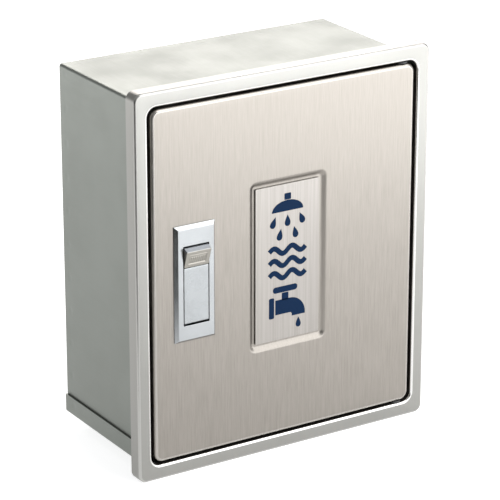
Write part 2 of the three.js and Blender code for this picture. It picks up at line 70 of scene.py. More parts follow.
camera_data = bpy.data.cameras.new("camera")
camera_data.lens = 194
camera = bpy.data.objects.new("camera", camera_data)
scene.collection.objects.link(camera)
scene.camera = camera
view_target = Vector((0.0005, -0.060, -0.005))
view_azimuth = math.radians(-32.2)
view_elevation = math.radians(20.3)
view_distance = 1.602
view_back = Vector((
    math.sin(view_azimuth) * math.cos(view_elevation),
    -math.cos(view_azimuth) * math.cos(view_elevation),
    math.sin(view_elevation),
))
camera.location = view_target + view_back * view_distance
camera.rotation_mode = "QUATERNION"
camera.rotation_quaternion = (-view_back).to_track_quat("-Z", "Y")
scene.view_settings.view_transform = "Standard"


# ---- Shader maths ----
# Socket adds Math nodes for the arithmetic that is written on it; Finish is one material.

class Socket:
    """A shader output. Arithmetic on it, with numbers or other sockets, adds Math nodes."""

    def __init__(self, finish, socket):
        self.finish = finish
        self.socket = socket

    def math(self, operation, *values):
        """A Math node over the values, each a socket or a number."""
        return self.finish.node("ShaderNodeMath", {"operation": operation}, dict(enumerate(values)))

    def __add__(self, other):
        return self.math("ADD", self, other)

    def __sub__(self, other):
        return self.math("SUBTRACT", self, other)

    def __mul__(self, other):
        return self.math("MULTIPLY", self, other)

    def ramp(self, low, high, start=0.0, end=1.0):
        """`start` where the socket is at or under `low`, `end` at or over `high`, smooth between."""
        return self.finish.node(
            "ShaderNodeMapRange",
            {"interpolation_type": "SMOOTHSTEP"},
            {0: self, 1: low, 2: high, 3: start, 4: end},
        )


class Finish:
    """One material. Constants go straight on the Principled shader's own sockets."""

    def __init__(self, name, **constants):
        self.material = bpy.data.materials.new(name)
        self.material.use_nodes = True
        self.tree = self.material.node_tree
        self.shader = self.tree.nodes["Principled BSDF"]
        for socket, value in constants.items():
            self.shader.inputs[socket.replace("_", " ")].default_value = value

    def node(self, kind, settings=None, sockets=None, output=0):
        """Adds a node: its settings first, then each socket's value or link."""
        added = self.tree.nodes.new(kind)
        for name, value in (settings or {}).items():
            setattr(added, name, value)
        for name, value in (sockets or {}).items():
            if isinstance(value, Socket):
                self.tree.links.new(value.socket, added.inputs[name])
            else:
                added.inputs[name].default_value = value
        return Socket(self, added.outputs[output])

    def place(self, scale):
        """Object coordinates, in metres, times a scale along each axis."""
        coordinates = self.node("ShaderNodeTexCoord", output="Object")
        return self.node("ShaderNodeMapping", {}, {"Vector": coordinates, "Scale": scale})

    def noise(self, scale, detail=2.0, roughness=0.5):
        """Noise with `scale` cells to the metre along each axis."""
        sockets = {"Vector": self.place(scale), "Scale": 1.0, "Detail": detail, "Roughness": roughness}
        return self.node("ShaderNodeTexNoise", {}, sockets)

    def mix(self, factor, first, second):
        """The first colour at factor 0, the second at 1."""
        sockets = {0: factor, 6: first, 7: second}
        return self.node("ShaderNodeMix", {"data_type": "RGBA"}, sockets, output=2)

    def feed(self, **values):
        """Links each value into the shader's socket of that name."""
        for name, value in values.items():
            self.tree.links.new(value.socket, self.shader.inputs[name.replace("_", " ")])

    def bump(self, height, distance, strength=1.0):
        """Feeds the shader's normal with a bump, `distance` deep."""
        sockets = {"Height": height, "Distance": distance, "Strength": strength}
        self.feed(Normal=self.node("ShaderNodeBump", {}, sockets))

    def paint(self, *objects):
        """Makes this the only material of each object."""
        for target in objects:
            target.data.materials.clear()
            target.data.materials.append(self.material)


def rgb(red, green, blue):
    """An opaque colour."""
    return (red, green, blue, 1.0)


# ---- Studio ----
# A white floor that gives light of its own, soft boxes in front, above and behind, a dark card on
# the left that darkens rounded edges, and a far white wall that is seen but gives no light.

def staged(name, points, faces):
    """A surface of the studio, which is no part of the cabinet."""
    mesh = bpy.data.meshes.new(name)
    mesh.from_pydata(points, [], faces)
    made = bpy.data.objects.new(name, mesh)
    scene.collection.objects.link(made)
    return made


studio_half = 6.0
floor_z = cad_box[0].z - 0.4 * MM
floor = staged("floor", [
    (-studio_half, -studio_half, floor_z), (studio_half, -studio_half, floor_z),
    (studio_half, studio_half, floor_z), (-studio_half, studio_half, floor_z),
], [(0, 1, 2, 3)])

wall_radius = 0.9 * studio_half
wall_turn = np.radians(np.arange(0, 360, 6))
wall_ring = wall_radius * np.stack([np.cos(wall_turn), np.sin(wall_turn)], 1)
wall_count = len(wall_ring)
wall = staged(
    "wall",
    [(x, y, floor_z) for x, y in wall_ring] + [(x, y, studio_half) for x, y in wall_ring],
    [(k, (k + 1) % wall_count, wall_count + (k + 1) % wall_count, wall_count + k) for k in range(wall_count)],
)
wall.visible_diffuse = False
wall.visible_glossy = False
wall.visible_shadow = False

floor_finish = Finish("floor_white", Roughness=0.9, Emission_Strength=0.8)
floor_tone = floor_finish.noise((3, 3, 3), 3)
floor_finish.feed(
    Base_Color=floor_finish.mix(floor_tone, rgb(0.56, 0.56, 0.56), rgb(0.60, 0.60, 0.60)),
    Emission_Color=floor_finish.mix(floor_tone, rgb(0.97, 0.98, 0.99), rgb(1.0, 1.0, 1.0)),
)
floor_finish.paint(floor, wall)

card_x = -0.30
card_front = -0.75
card_rear = -0.14
card_foot = floor_z + 1 * MM
card_top = 0.22
card = staged("dark_card", [
    (card_x, card_front, card_foot), (card_x, card_rear, card_foot),
    (card_x, card_rear, card_top), (card_x, card_front, card_top),
], [(0, 1, 2, 3)])
card.visible_camera = False
card_finish = Finish("card_dark", Roughness=0.9)
card_tone = card_finish.noise((9, 9, 9), 3)
card_finish.feed(Base_Color=card_finish.mix(card_tone, rgb(0.02, 0.022, 0.020), rgb(0.035, 0.038, 0.034)))
card_finish.paint(card)

world = bpy.data.worlds.new("studio")
scene.world = world
world.use_nodes = True
world.node_tree.nodes["Background"].inputs["Color"].default_value = rgb(0.98, 0.99, 1.0)
world.node_tree.nodes["Background"].inputs["Strength"].default_value = 0.5


def soft_box(name, place, aim, width, height, power, colour=(1, 1, 1)):
    """A rectangular light at `place`, turned to face `aim`."""
    data = bpy.data.lights.new(name, "AREA")
    data.shape = "RECTANGLE"
    data.size = width
    data.size_y = height
    data.energy = power
    data.color = colour
    light = bpy.data.objects.new(name, data)
    light.location = place
    light.rotation_mode = "QUATERNION"
    light.rotation_quaternion = (Vector(aim) - Vector(place)).to_track_quat("-Z", "Y")
    scene.collection.objects.link(light)


soft_box("top_box", (0.5, -0.6, 1.0), (0, -0.05, 0), 1.0, 0.8, 9)
soft_box("front_box", (0.27, -0.52, 0.12), (0.0, -0.1, 0.1), 0.6, 0.45, 2.65, (0.97, 0.985, 1.0))
soft_box("back_box", (0.85, 1.4, 0.95), (0, 0, 0.1), 1.6, 0.9, 21, (1.0, 0.95, 0.93))
soft_box("edge_box", (0.42, -0.28, 0.0), (0, -0.1, 0), 0.08, 0.22, 0.05)
soft_box("side_box", (-0.45, 0.5, 0.02), (-0.09, -0.05, 0.03), 0.4, 0.25, 0.3)


# ---- Body: the folded sheet of the top and both sides ----
# One mm stainless sheet with a smooth mill finish, folded over as an upside-down U. The back
# panel's flange is spot-welded to it along the rear edge of the top and of each side.

def add_mesh(name, points, faces, smooth=True):
    """A mesh object from an array of points and a list of faces, with doubles left as they are."""
    mesh = bpy.data.meshes.new(name)
    mesh.from_pydata(np.asarray(points, float).reshape(-1, 3).tolist(), [], faces)
    mesh.validate()
    mesh.polygons.foreach_set("use_smooth", [smooth] * len(mesh.polygons))
    made = bpy.data.objects.new(name, mesh)
    scene.collection.objects.link(made)
    return made


def grid_faces(rows, columns, wrap_rows=False, wrap_columns=False, first=0):
    """Quads between neighbouring points of a rows by columns grid, stored row by row."""
    row = np.arange(rows if wrap_rows else rows - 1)[:, None]
    column = np.arange(columns if wrap_columns else columns - 1)[None, :]
    next_row = (row + 1) % rows
    next_column = (column + 1) % columns
    quads = np.stack([
        row * columns + column, row * columns + next_column,
        next_row * columns + next_column, next_row * columns + column,
    ], -1)
    return (quads.reshape(-1, 4) + first).tolist()


def outward(made):
    """Turns the faces of a closed mesh outwards, by the sign of its volume."""
    mesh = made.data
    mesh.calc_loop_triangles()
    corner = np.empty(len(mesh.vertices) * 3)
    mesh.vertices.foreach_get("co", corner)
    corner = corner.reshape(-1, 3)
    index = np.empty(len(mesh.loop_triangles) * 3, np.int32)
    mesh.loop_triangles.foreach_get("vertices", index)
    a, b, c = corner[index.reshape(-1, 3)].transpose(1, 0, 2)
    if np.einsum("ij,ij->i", a, np.cross(b, c)).sum() < 0:
        mesh.flip_normals()
    return made


def sharp_edges(made, degrees=35):
    """Shades the mesh smooth, except over edges that turn by more than this."""
    mesh = made.data
    mesh.set_sharp_from_angle(angle=math.radians(degrees))
    return made


def arc(centre, radius, start, end, steps):
    """Points of an arc, the angles in degrees, both ends included."""
    angle = np.radians(np.linspace(start, end, steps + 1))
    return np.stack([centre[0] + radius * np.cos(angle), centre[1] + radius * np.sin(angle)], 1)


def between(first, last, step):
    """Points from first to last, both left out, spaced by about `step`."""
    count = max(int(round(np.linalg.norm(np.subtract(last, first)) / step)), 1)
    share = np.linspace(0, 1, count + 1)[1:-1, None]
    return np.asarray(first) * (1 - share) + np.asarray(last) * share


def folded_sheet(name, outer, inner, depths, press=None):
    """A folded sheet: its outer and inner lines in X and Z, with as many points each, joined
    into one closed line, carried along Y through `depths`, and closed by a ladder at each end.
    `press` gives how far each outer point is pushed towards its inner one."""
    loop = np.concatenate([outer, inner[::-1]])
    rows, columns = len(depths), len(loop)
    points = np.empty((rows, columns, 3))
    points[:, :, 0] = loop[None, :, 0]
    points[:, :, 1] = np.asarray(depths)[:, None]
    points[:, :, 2] = loop[None, :, 1]
    half = len(outer)
    if press is not None:
        into = (inner - outer) / np.linalg.norm(inner - outer, axis=1, keepdims=True)
        amount = press(points[:, :half])
        points[:, :half, 0] += amount * into[None, :, 0]
        points[:, :half, 2] += amount * into[None, :, 1]
    faces = grid_faces(rows, columns, wrap_columns=True)
    rung = np.arange(half - 1)
    ladder = np.stack([rung, rung + 1, columns - 2 - rung, columns - 1 - rung], -1)
    faces += ladder.tolist() + (ladder + (rows - 1) * columns).tolist()
    return sharp_edges(outward(add_mesh(name, points, faces)))


sheet = 1.0 * MM
bend = 2.0 * MM
wrap_low, wrap_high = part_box("body_wrap")


def wrap_line(right, top, foot, radius, step):
    """Up the left side, over the top and down the right side, with a round at each corner."""
    left_bend = arc((-right + radius, top - radius), radius, 180, 90, 6)
    right_bend = arc((right - radius, top - radius), radius, 90, 0, 6)
    return np.concatenate([
        [(-right, foot)], between((-right, foot), left_bend[0], step), left_bend,
        between(left_bend[-1], right_bend[0], step), right_bend,
        between(right_bend[-1], (right, foot), step), [(right, foot)],
    ])


def inset_line(line, distance):
    """The line moved sideways by `distance`, to its right as it runs."""
    ahead = np.gradient(line, axis=0)
    ahead /= np.linalg.norm(ahead, axis=1, keepdims=True)
    return line + distance * np.stack([ahead[:, 1], -ahead[:, 0]], 1)


weld_back = 6.5 * MM
weld_radius = 2.0 * MM
weld_depth = 0.16 * MM
weld_pitch = 21 * MM


def weld_marks(points):
    """Spot welds: round dimples in a row along the back edge, one for each pitch."""
    across = np.where(points[..., 2] > wrap_high.z - bend, points[..., 0], points[..., 2])
    along = (across / weld_pitch + 0.5) % 1.0 - 0.5
    near = np.hypot(along * weld_pitch, points[..., 1] + weld_back) / weld_radius
    flat_part = np.minimum(np.abs(np.abs(points[..., 0]) - wrap_high.x), np.abs(points[..., 2] - wrap_high.z))
    return np.where(flat_part < 0.01 * MM, weld_depth * np.exp(-near ** 4), 0)


outer_line = wrap_line(wrap_high.x, wrap_high.z, wrap_low.z, bend, 1.0 * MM)
weld_zone = 11.3 * MM
wrap_depths = np.concatenate([
    np.linspace(wrap_low.y, -weld_zone - 0.7 * MM, 16), np.linspace(-weld_zone, 0, 18),
])
body_skin = folded_sheet("body_skin", outer_line, inset_line(outer_line, sheet), wrap_depths, weld_marks)
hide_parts("body_wrap")
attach(body_skin, "cabinet")

mill = Finish("mill_stainless", Metallic=1.0)
mill_cloud = mill.noise((26, 26, 26), 4, 0.6)
mill_roll = mill.noise((900, 40, 900), 2, 0.5)
mill_speck = mill.noise((2600, 2600, 2600), 1, 0.5)
mill_tone = mill_cloud * 0.7 + mill_roll * 0.2 + mill_speck * 0.1
mill.feed(
    Base_Color=mill.mix(mill_tone, rgb(0.165, 0.178, 0.162), rgb(0.232, 0.244, 0.223)),
    Roughness=mill_tone.ramp(0.3, 0.7, 0.36, 0.50),
)
mill.bump(mill_speck * 0.5 + mill_cloud * 0.5, 0.02 * MM, 0.35)
mill.paint(body_skin)


# ---- Bottom tray ----
# A second folded sheet: its flanges stand up outside the walls and are spot-welded to them.

tray_low, tray_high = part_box("bottom_tray")
tray_weld_up = 7.5 * MM
tray_weld_end = 10 * MM


def tray_line(right, foot, rim, radius, step):
    """Down the left flange, along the bottom and up the right flange."""
    left_bend = arc((-right + radius, foot + radius), radius, 180, 270, 6)
    right_bend = arc((right - radius, foot + radius), radius, 270, 360, 6)
    return np.concatenate([
        [(-right, rim)], between((-right, rim), left_bend[0], step), left_bend,
        between(left_bend[-1], right_bend[0], step), right_bend,
        between(right_bend[-1], (right, rim), step), [(right, rim)],
    ])


def tray_welds(points):
    """Two dimples on each flange, near the front and the back."""
    height = points[..., 2] - (tray_low.z + tray_weld_up)
    front = np.hypot(points[..., 1] - (tray_low.y + tray_weld_end), height)
    back = np.hypot(points[..., 1] + tray_weld_end, height)
    near = np.minimum(front, back) / weld_radius
    on_flange = np.abs(np.abs(points[..., 0]) - tray_high.x) < 0.01 * MM
    return np.where(on_flange, weld_depth * np.exp(-near ** 4), 0)


tray_outer = tray_line(tray_high.x, tray_low.z, tray_high.z, bend, 1.0 * MM)
tray_depths = np.linspace(tray_low.y, 0, 91)
tray_skin = folded_sheet("tray_skin", tray_outer, inset_line(tray_outer, -sheet), tray_depths, tray_welds)
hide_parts("bottom_tray")
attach(tray_skin, "cabinet")
mill.paint(tray_skin)


# ---- Back panel, keeper and stops ----
# Plain sheet pieces whose CAD shape is what is seen; they take the mill finish.

for name in ("back_panel", "keeper", "stop_bracket_upper", "stop_bracket_lower",
             "hinge_doubler_upper", "hinge_doubler_lower"):
    mill.paint(nodes[name])


# ---- Frame ----
# A channel folded from stainless sheet and ground at its corners: a rounded edge outside,
# a flat face and a rounded edge that turns in round the door.

def rounded_outline(width, height, radius, steps, x=0.0, z=0.0, hold=0.1 * MM):
    """A rounded rectangle, anticlockwise, and its outward directions: each corner is an arc of
    `steps` parts with one more point `hold` beyond each end, which keeps the side's shading flat.
    Every outline with the same steps has matching points."""
    right, top = width / 2 - radius, height / 2 - radius
    centres = [(right, -top, -90), (right, top, 0), (-right, top, 90), (-right, -top, 180)]
    sweep = np.concatenate([[0], np.linspace(0, 90, steps + 1), [90]])
    slide = np.concatenate([[-hold], np.zeros(steps + 1), [hold]])
    angle = np.radians(np.array([a + sweep for _, _, a in centres]).ravel())
    middle = np.repeat([(cx, cz) for cx, cz, _ in centres], steps + 3, axis=0)
    out = np.stack([np.cos(angle), np.sin(angle)], 1)
    along = np.stack([-out[:, 1], out[:, 0]], 1) * np.tile(slide, 4)[:, None]
    return middle + radius * out + along + (x, z), out


def carried(name, inner, outer, out, profile):
    """A closed profile carried round a closed path. Each profile point is (share, offset, depth):
    the share of the way from the inner outline to the outer one, then a move outwards."""
    share, offset, depth = np.asarray(profile, float).T
    place = inner[:, None] * (1 - share)[None, :, None] + outer[:, None] * share[None, :, None]
    place = place + out[:, None] * offset[None, :, None]
    points = np.stack([place[..., 0], np.broadcast_to(depth, place.shape[:2]), place[..., 1]], -1)
    faces = grid_faces(len(inner), len(profile), True, True)
    return sharp_edges(outward(add_mesh(name, points, faces)))


frame_low, frame_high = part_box("front_frame")
frame_size = frame_high - frame_low
face_y = frame_low.y
face_side = 8.5 * MM
face_end = 9.0 * MM
fold = 1.5 * MM
opening_width = frame_size.x - 2 * face_side
opening_height = frame_size.z - 2 * face_end
frame_inner, frame_out = rounded_outline(opening_width, opening_height, 6 * MM, 14)
frame_outer, _ = rounded_outline(frame_size.x, frame_size.z, 5 * MM, 14)
inside_fold = arc((fold, face_y + fold), fold, 180, 270, 8)
outside_fold = arc((-fold, face_y + fold), fold, 270, 360, 8)
inside_back = arc((fold, face_y + fold), fold - sheet, 270, 180, 4)
outside_back = arc((-fold, face_y + fold), fold - sheet, 360, 270, 4)
frame_profile = (
    [(0, 0, frame_high.y)]
    + [(0, offset, depth) for offset, depth in inside_fold]
    + [(1, offset, depth) for offset, depth in outside_fold]
    + [(1, 0, frame_high.y), (1, -sheet, frame_high.y)]
    + [(1, offset, depth) for offset, depth in outside_back]
    + [(0, offset, depth) for offset, depth in inside_back]
    + [(0, sheet, frame_high.y)]
)
frame_ring = carried("frame_ring", frame_inner, frame_outer, frame_out, frame_profile)


def polish_and_painted_highlight(made, amount):
    """Stores, for each point, how much painted highlight its finish puts in the base colour, and how much
    smoother it makes it, as a point attribute.
    """
    layer = made.data.attributes.new("polish_and_painted_highlight", "FLOAT", "POINT")
    layer.data.foreach_set("value", np.asarray(amount, np.float32).ravel())


fold_points = len(inside_fold)
# Painted highlight on the frame's folds: the inside fold gets it in full and the outside fold at 0.3. The
# same share also makes them smoother.
fold_painted_highlight = np.zeros(len(frame_profile))
fold_painted_highlight[2:fold_points] = 1
fold_painted_highlight[fold_points + 2:2 * fold_points] = 0.3
polish_and_painted_highlight(frame_ring, np.tile(fold_painted_highlight, len(frame_inner)))
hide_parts("front_frame")
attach(frame_ring, "cabinet")

satin = Finish("frame_stainless", Metallic=1.0)
satin_cloud = satin.noise((18, 18, 18), 3, 0.55)
satin_grain = satin.noise((2200, 2200, 90), 2, 0.5)
satin_tone = satin_cloud * 0.5 + satin_grain * 0.5
# The attribute mixes the folds' base colour towards a light grey, which is a painted highlight, and lowers
# their roughness.
satin_painted_highlight = satin.node("ShaderNodeAttribute", {"attribute_name": "polish_and_painted_highlight"}, output="Fac")
satin_face = satin.mix(satin_tone, rgb(0.244, 0.242, 0.229), rgb(0.298, 0.293, 0.276))
satin.feed(
    Base_Color=satin.mix(satin_painted_highlight * 0.8, satin_face, rgb(0.72, 0.71, 0.69)),
    Roughness=satin_tone.ramp(0.3, 0.7, 0.31, 0.41) - satin_painted_highlight * 0.16,
)
satin.bump(satin_grain, 0.008 * MM, 0.3)
satin.paint(frame_ring)


# ---- Door ----
# A pan of one mm sheet with a vertical hairline grain: folded edges, a round at each corner
# and a recess pressed for the plate.

def spaced(stops, fine, coarse):
    """Grid lines through all stops: `fine` steps where the flag of a stretch is set."""
    lines = [stops[0][0]]
    for (start, dense), (end, _) in zip(stops[:-1], stops[1:]):
        count = max(int(math.ceil((end - start) / (fine if dense else coarse))), 1)
        lines += list(np.linspace(start, end, count + 1)[1:])
    return np.array(lines)


door_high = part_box("door_panel")[1]
door_corner = 5.5 * MM
door_fold = 2.2 * MM
plate_low, plate_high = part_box("name_plate")
plate_x = (plate_low.x + plate_high.x) / 2
plate_z = (plate_low.z + plate_high.z) / 2
recess_margin = 1.2 * MM
recess_slope = 3.8 * MM
recess_depth = 1.8 * MM
floor_half_x = (plate_high.x - plate_low.x) / 2 + recess_margin
floor_half_z = (plate_high.z - plate_low.z) / 2 + recess_margin
case_low, case_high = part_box("latch_case")
hole_gap = 0.3 * MM
fine_step = 0.25 * MM
coarse_step = 4 * MM
slope_spare = 0.4 * MM
floor_round = 1.9 * MM


def pressed(x, z):
    """Depth of the recess: full on its floor, then an S-curve up its slope, by the distance
    outside a rectangle with round corners."""
    dx = np.maximum(np.abs(x - plate_x) - floor_half_x + recess_margin, 0)
    dz = np.maximum(np.abs(z - plate_z) - floor_half_z + recess_margin, 0)
    rise = np.clip((np.hypot(dx, dz) - recess_margin) / recess_slope, 0, 1)
    return recess_depth * (1 - rise * rise * (3 - 2 * rise))


def door_grid(half, middle, floor_half, low_hole, high_hole):
    """Stops along one axis: corner, hole edges and the recess, with its slopes fine."""
    slope_out = floor_half + recess_slope + slope_spare
    stops = [
        (-half, False), (low_hole, False), (high_hole, False),
        (middle - slope_out, True), (middle - floor_half + floor_round, False),
        (middle + floor_half - floor_round, True), (middle + slope_out, False), (half, False),
    ]
    return sorted(stops)


def door_surface(name):
    """The pan's outside: a grid over the flat part, then rings round it that follow the corner,
    the fold and the turned-in edge. The latch's hole is left out."""
    half_x = door_high.x - door_corner
    half_z = door_high.z - door_corner
    xs = spaced(door_grid(half_x, plate_x, floor_half_x, case_low.x - hole_gap, case_high.x + hole_gap),
                fine_step, coarse_step)
    zs = spaced(door_grid(half_z, plate_z, floor_half_z, case_low.z - hole_gap, case_high.z + hole_gap),
                fine_step, coarse_step)
    x, z = np.meshgrid(xs, zs)
    flat = np.stack([x, face_y + pressed(x, z), z], -1)
    columns, rows = len(xs), len(zs)
    quads = np.array(grid_faces(rows, columns))
    centre = flat.reshape(-1, 3)[quads].mean(1)
    in_hole = (
        (centre[:, 0] > case_low.x - hole_gap) & (centre[:, 0] < case_high.x + hole_gap)
        & (centre[:, 2] > case_low.z - hole_gap) & (centre[:, 2] < case_high.z + hole_gap)
    )
    faces = quads[~in_hole].tolist()
    index = np.arange(rows * columns).reshape(rows, columns)
    sides = [index[0, :], index[:, -1], index[-1, ::-1], index[::-1, 0]]
    corner_steps = 12
    rim, out = [], []
    for side, start in zip(sides, (-90, 0, 90, 180)):
        normal = math.radians(start)
        rim += list(side)
        out += [(math.cos(normal), math.sin(normal))] * len(side)
        turn = np.radians(start + 90 * np.arange(1, corner_steps) / corner_steps)
        rim += [side[-1]] * (corner_steps - 1)
        out += list(zip(np.cos(turn), np.sin(turn)))
    rim, out = np.array(rim), np.array(out)
    base = flat.reshape(-1, 3)[rim]
    fold_line = arc((door_corner - door_fold, face_y + door_fold), door_fold, 270, 360, 10)
    profile = np.concatenate([fold_line, [(door_corner, door_high.y)]])
    rings = np.empty((len(profile), len(rim), 3))
    rings[:, :, 0] = base[None, :, 0] + profile[:, None, 0] * out[None, :, 0]
    rings[:, :, 1] = profile[:, None, 1]
    rings[:, :, 2] = base[None, :, 2] + profile[:, None, 0] * out[None, :, 1]
    first = rows * columns
    ahead = np.arange(len(rim))
    after = (ahead + 1) % len(rim)
    skirt = np.stack([rim[ahead], rim[after], first + after, first + ahead], -1)
    for quad in skirt.tolist():
        faces.append([quad[0]] + quad[2:] if quad[0] == quad[1] else quad)
    faces += grid_faces(len(profile), len(rim), wrap_columns=True, first=first)
    made = add_mesh(name, np.concatenate([flat.reshape(-1, 3), rings.reshape(-1, 3)]), faces)
    # Painted highlight: the front of the door's fold gets a lighter base colour, and is made a little
    # smoother.
    bright = np.zeros((len(profile), len(rim)))
    front_of_fold = slice(1, 5)
    bright[front_of_fold] = 1
    polish_and_painted_highlight(made, np.concatenate([np.zeros(first), bright.ravel()]))
    work = bmesh.new()
    work.from_mesh(made.data)
    bmesh.ops.remove_doubles(work, verts=work.verts, dist=0.001 * MM)
    bmesh.ops.recalc_face_normals(work, faces=work.faces)
    if sum(face.normal.y * face.calc_area() for face in work.faces) > 0:
        bmesh.ops.reverse_faces(work, faces=work.faces)
    work.to_mesh(made.data)
    work.free()
    return made


door_skin = door_surface("door_skin")
thick = door_skin.modifiers.new("sheet", "SOLIDIFY")
thick.thickness = sheet
thick.offset = -1
thick.use_even_offset = True
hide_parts("door_panel")
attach(door_skin, "door")

hairline = Finish("hairline_stainless", Metallic=1.0)
hair_fine = hairline.noise((5200, 5200, 120), 2, 0.6)
hair_mid = hairline.noise((1500, 1500, 46), 2, 0.6)
hair_wide = hairline.noise((620, 620, 14), 2, 0.5)
hair_tone = hair_fine * 0.38 + hair_mid * 0.48 + hair_wide * 0.14
# The fold's painted highlight mixes the face 0.3 of the way to a light grey and lowers its roughness there.
hair_painted_highlight = hairline.node("ShaderNodeAttribute", {"attribute_name": "polish_and_painted_highlight"}, output="Fac")
hair_face = hairline.mix(hair_tone.ramp(0.25, 0.75), rgb(0.216, 0.199, 0.178), rgb(0.292, 0.271, 0.246))
hairline.feed(
    Base_Color=hairline.mix(hair_painted_highlight * 0.3, hair_face, rgb(0.62, 0.60, 0.57)),
    Roughness=hair_tone.ramp(0.3, 0.7, 0.31, 0.43) - hair_painted_highlight * 0.1,
)
hairline.bump(hair_fine * 0.6 + hair_mid * 0.4, 0.02 * MM, 0.35)
hairline.paint(door_skin)


# ---- Name plate and its printed signs ----
# A thin slab with eased edges that lies in the recess, its grain like the door's, printed in
# navy ink with three plain water signs: a spray, waves and a tap.

def loft(name, rings, closed=False, hold=0.05 * MM):
    """Rings of matching points, each (outline in X and Z, depth along Y), joined in their order.
    A stretch between two rings gets two more rings, `hold` from its ends, which keeps it flat in
    shading. Closed, the last ring joins the first; otherwise a face closes each end."""
    given = [np.stack([line[:, 0], np.full(len(line), depth), line[:, 1]], 1) for line, depth in rings]
    points = []
    for ring, after in zip(given, given[1:] + given[:1]):
        share = hold / np.linalg.norm(after - ring, axis=1).max()
        points.append(ring)
        if share < 0.3 and (closed or after is not given[0]):
            points += [ring + share * (after - ring), after + share * (ring - after)]
    across = len(given[0])
    faces = grid_faces(len(points), across, wrap_rows=closed, wrap_columns=True)
    if not closed:
        last = (len(points) - 1) * across
        faces += [list(range(across)), list(range(last, last + across))]
    return sharp_edges(outward(add_mesh(name, np.concatenate(points), faces)))


plate_corner = 0.6 * MM
plate_edge = 0.15 * MM
plate_size = plate_high - plate_low


def plate_ring(inset):
    """The plate's outline, drawn in by `inset`."""
    return rounded_outline(
        plate_size.x - 2 * inset, plate_size.z - 2 * inset, plate_corner - inset, 8, plate_x, plate_z,
    )[0]


ease = np.radians(np.linspace(0, 90, 5))
plate_rings = [(plate_ring(plate_edge * (1 - math.sin(a))), plate_low.y + plate_edge * (1 - math.cos(a)))
               for a in ease]
plate_rings += [(plate_ring(plate_edge * (1 - math.cos(a))), plate_high.y - plate_edge * (1 - math.sin(a)))
                for a in ease]
plate_skin = loft("plate_skin", plate_rings)
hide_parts("name_plate")
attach(plate_skin, "door")

plate_finish = Finish("plate_stainless", Metallic=1.0)
plate_fine = plate_finish.noise((2400, 2400, 26), 2, 0.6)
plate_mid = plate_finish.noise((700, 700, 8), 2, 0.5)
plate_tone = plate_fine * 0.5 + plate_mid * 0.5
plate_finish.feed(
    Base_Color=plate_finish.mix(
        plate_tone.ramp(0.3, 0.7), rgb(0.262, 0.247, 0.230), rgb(0.325, 0.307, 0.288),
    ),
    Roughness=plate_tone.ramp(0.3, 0.7, 0.32, 0.42),
)
plate_finish.bump(plate_fine, 0.012 * MM, 0.3)
plate_finish.paint(plate_skin)

ink_thickness = 0.05 * MM
ink_seat = 0.01 * MM


def band(path, half):
    """The outline of a band of even width along a path, one side out and the other side back."""
    ahead = np.gradient(path, axis=0)
    ahead /= np.linalg.norm(ahead, axis=1, keepdims=True)
    side = half * np.stack([-ahead[:, 1], ahead[:, 0]], 1)
    return np.concatenate([path + side, (path - side)[::-1]])


def drop(x, z, radius, lean=0):
    """A drop: (r sin t sin(t/2)^1.5, 1.3 r cos t), its point up, leaning by `lean` degrees."""
    turn = np.linspace(0, 2 * np.pi, 48, endpoint=False)
    across = radius * np.sin(turn) * np.abs(np.sin(turn / 2)) ** 1.5
    up = 1.3 * radius * np.cos(turn)
    lean = math.radians(lean)
    return np.stack([
        x + across * math.cos(lean) + up * math.sin(lean), z - across * math.sin(lean) + up * math.cos(lean),
    ], 1)


def printed(name, outlines, z):
    """Thin slabs of ink on the plate's face, one for each outline, in mm round the sign's centre."""
    points, faces = [], []
    for outline in outlines:
        line = outline * MM + (plate_x, z)
        count = len(line)
        first = sum(len(part) for part in points)
        for depth in (plate_low.y - ink_thickness, plate_low.y + ink_seat):
            points.append(np.stack([line[:, 0], np.full(count, depth), line[:, 1]], 1))
        faces += grid_faces(2, count, wrap_columns=True, first=first)
        faces.append(list(range(first, first + count)))
        faces.append(list(range(first + 2 * count - 1, first + count - 1, -1)))
    made = add_mesh(name, np.concatenate(points), faces, smooth=False)
    work = bmesh.new()
    work.from_mesh(made.data)
    bmesh.ops.recalc_face_normals(work, faces=work.faces)
    work.to_mesh(made.data)
    work.free()
    return made


run = np.linspace(-12.5, 12.5, 61)
wave_length = 12.5
wave_height = 1.9
wave_pitch = 7.6
swell = wave_height * np.sin(run * 2 * np.pi / wave_length)
waves = [band(np.stack([run, swell + rise], 1), 1.6) for rise in (wave_pitch, 0, -wave_pitch)]
rose_foot = 3.4
rose = arc((0, 0), 10.8, 180, 0, 24) * (1, 0.62) + (0, rose_foot)
spray = [
    rounded_outline(4.6, 4.0, 0.5, 4, 0, 12.3)[0],
    rose,
    drop(-9.6, -2.4, 2.8, 22), drop(0, -2.4, 2.8), drop(9.6, -2.4, 2.8, -22),
    drop(-5.2, -10.4, 2.8, 12), drop(5.2, -10.4, 2.8, -12),
]
spout = np.concatenate([[(-8.3, 0.5), (-5, 0.5), (-1, 0.5), (1.6, 0.5)],
                        arc((1.8, -5.5), 6, 90, 0, 16), [(7.8, -6.6)]])
tap = [
    rounded_outline(17.0, 3.8, 1.8, 6, -1.5, 11.4)[0],
    rounded_outline(4.6, 4.6, 0.4, 4, -1.5, 6.8)[0],
    rounded_outline(3.6, 13.0, 0.9, 4, -10.9, 0.5)[0],
    band(spout, 4.6),
    drop(7.8, -11.2, 2.5),
]
ink = Finish("navy_print", Metallic=0.0, Specular_IOR_Level=0.06)
ink_cloud = ink.noise((1800, 1800, 1800), 3, 0.6)
ink.feed(
    Base_Color=ink.mix(ink_cloud, rgb(0.001, 0.011, 0.038), rgb(0.002, 0.017, 0.052)),
    Roughness=ink_cloud.ramp(0.3, 0.7, 0.38, 0.52),
)
sign_pitch = 28 * MM
